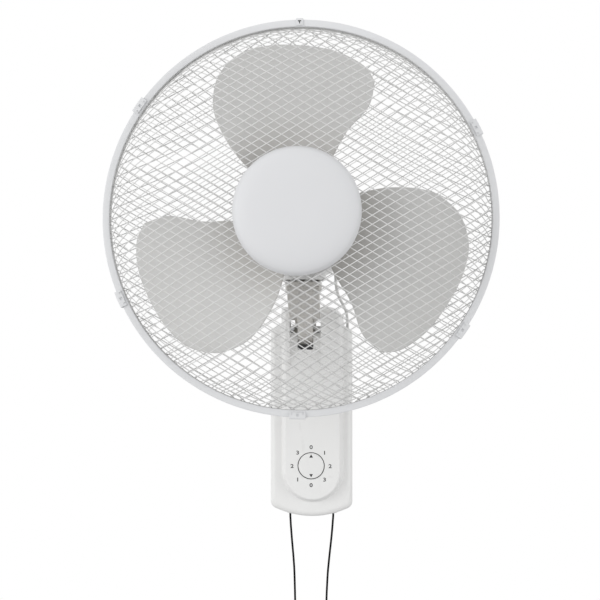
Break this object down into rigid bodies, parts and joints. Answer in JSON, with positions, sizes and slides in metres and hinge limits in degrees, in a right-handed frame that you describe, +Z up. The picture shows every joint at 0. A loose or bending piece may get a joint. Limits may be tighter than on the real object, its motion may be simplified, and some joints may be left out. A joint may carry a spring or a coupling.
{
  "type": "wall mounted fan",
  "caption": "Wall fan with a column on a wall bracket, a tilting neck, a swinging head with domed mesh guards and a bladed wheel, a round speed dial and pull cords.",
  "frame": {"origin": "middle of the wall bracket's back face, in the plane of the wall", "axes": "+Y into the wall, so the fan blows towards -Y; +Z up; +X to the right seen from the front"},
  "size_m": [0.4376, 0.3372, 0.7863],
  "materials": {
    "white_housing": "fine satin, light grey white",
    "white_gloss": "smooth semi-gloss",
    "grey_housing": "satin grey",
    "white_wire": "powder coated wire, semi-gloss",
    "blade_plastic": "slightly translucent grey, smooth",
    "black_plastic": "moulded black",
    "black_rubber": "matt",
    "black_cord": "fine braided cord",
    "nylon": "natural, waxy",
    "galvanised_steel": "zinc plated sheet",
    "bright_steel": "turned, bright",
    "cast_zinc": "die cast, dull",
    "laminations": "stacked sheets, oiled",
    "copper_winding": "enamelled wire",
    "sintered_bronze": "porous, oiled",
    "cable_sheath": "soft sheath"
  },
  "bodies": {
    "column": {"wall_bracket": "galvanised_steel", "column_back_shell": "white_housing", "column_front_shell": "white_housing", "tilt_fork": "galvanised_steel", "tilt_bolt": "bright_steel", "tilt_nut": "bright_steel", "speed_switch": "black_plastic", "swing_switch": "black_plastic", "cord_bushing_left": "black_plastic", "cord_bushing_right": "black_plastic", "mains_grommet": "black_rubber", "run_capacitor": "black_plastic", "terminal_block": "nylon"},
    "dial": {"speed_dial": "white_gloss"},
    "speed_lever": {"speed_lever": "nylon"},
    "speed_pull": {"speed_pull_link": "bright_steel", "speed_cord": "black_cord", "speed_knob": "black_plastic"},
    "swing_pull": {"swing_pull_plunger": "nylon", "swing_cord": "black_cord", "swing_knob": "black_plastic"},
    "neck": {"neck": "grey_housing", "tilt_washer_left": "nylon", "tilt_washer_right": "nylon", "swing_post": "bright_steel", "swing_washer": "nylon", "swing_retaining_ring": "bright_steel"},
    "head": {"motor_carrier": "cast_zinc", "swing_bush": "nylon", "swing_motor": "galvanised_steel", "stator_core": "laminations", "winding_front": "copper_winding", "winding_rear": "copper_winding", "front_end_bell": "cast_zinc", "rear_end_bell": "cast_zinc", "front_bearing": "sintered_bronze", "rear_bearing": "sintered_bronze", "motor_front_cover": "white_housing", "motor_rear_housing": "white_housing", "guard_nut": "white_housing", "rear_guard": "white_wire", "front_guard": "white_wire", "guard_ring": "white_gloss", "top_catch": "white_gloss", "front_cap": "white_gloss", "cap_retainer": "white_housing", "motor_lead": "cable_sheath"},
    "crank": {"swing_crank": "nylon"},
    "link": {"swing_link": "galvanised_steel"},
    "rotor": {"rotor_core": "laminations", "motor_shaft": "bright_steel", "fan_wheel": "blade_plastic", "blade_nut": "grey_housing"},
    "clip_1": {"guard_clip_1": "white_gloss"},
    "clip_2": {"guard_clip_2": "white_gloss"},
    "clip_3": {"guard_clip_3": "white_gloss"},
    "clip_4": {"guard_clip_4": "white_gloss"},
    "clip_5": {"guard_clip_5": "white_gloss"}
  },
  "joints": [
    {"name": "tilt", "type": "hinge", "parent": "column", "child": "neck", "pos_m": [-0.0075, -0.05, 0.096], "axis": [1, 0, 0], "range_deg": [-10, 25]},
    {"name": "swing", "type": "hinge", "parent": "neck", "child": "head", "pos_m": [-0.0075, -0.132, 0.17], "axis": [0, 0, 1], "range_deg": [-40, 40], "deforming": ["motor_lead"]},
    {"name": "crank_turn", "type": "hinge", "parent": "head", "child": "crank", "pos_m": [0.00289, -0.088, 0.18], "axis": [0, 0, 1], "range_deg": [-90, 90]},
    {"name": "link_turn", "type": "hinge", "parent": "crank", "child": "link", "pos_m": [0.01478, -0.088, 0.18], "axis": [0, 0, 1], "range_deg": [-90, 90]},
    {"name": "rotor_spin", "type": "hinge", "parent": "head", "child": "rotor", "pos_m": [-0.0075, -0.147, 0.226], "axis": [0, 1, 0], "continuous": true},
    {"name": "dial_turn", "type": "hinge", "parent": "column", "child": "dial", "pos_m": [0, -0.0777, -0.067], "axis": [0, 1, 0], "continuous": true},
    {"name": "speed_pull_slide", "type": "slide", "parent": "column", "child": "speed_pull", "axis": [0, 0, -1], "range_m": [0, 0.012], "stiffness_N_per_m": 400, "springref_m": -0.001},
    {"name": "speed_lever_turn", "type": "hinge", "parent": "column", "child": "speed_lever", "pos_m": [0, -0.0465, -0.067], "axis": [0, 1, 0], "range_deg": [0, 25]},
    {"name": "swing_pull_slide", "type": "slide", "parent": "column", "child": "swing_pull", "axis": [0, 0, -1], "range_m": [0, 0.008], "stiffness_N_per_m": 400, "springref_m": -0.001},
    {"name": "clip_1_open", "type": "hinge", "parent": "head", "child": "clip_1", "pos_m": [0.1911, -0.2316, 0.32719], "axis": [-0.454, 0, 0.891], "range_deg": [0, 60]},
    {"name": "clip_2_open", "type": "hinge", "parent": "head", "child": "clip_2", "pos_m": [-0.18942, -0.2316, 0.3548], "axis": [-0.5779, 0, -0.8161], "range_deg": [0, 60]},
    {"name": "clip_3_open", "type": "hinge", "parent": "head", "child": "clip_3", "pos_m": [-0.21113, -0.2316, 0.13534], "axis": [0.4067, 0, -0.9135], "range_deg": [0, 60]},
    {"name": "clip_4_open", "type": "hinge", "parent": "head", "child": "clip_4", "pos_m": [-0.00983, -0.2316, 0.00311], "axis": [0.9999, 0, -0.0105], "range_deg": [0, 60]},
    {"name": "clip_5_open", "type": "hinge", "parent": "head", "child": "clip_5", "pos_m": [0.17598, -0.2316, 0.09943], "axis": [0.5678, 0, 0.8231], "range_deg": [0, 60]}
  ],
  "couplings": [
    {"joint": "crank_turn", "follows": "swing", "ratio": -2.25},
    {"joint": "link_turn", "follows": "swing", "ratio": 2.25},
    {"joint": "speed_lever_turn", "follows": "speed_pull_slide", "rad_per_m": 35.79}
  ]
}
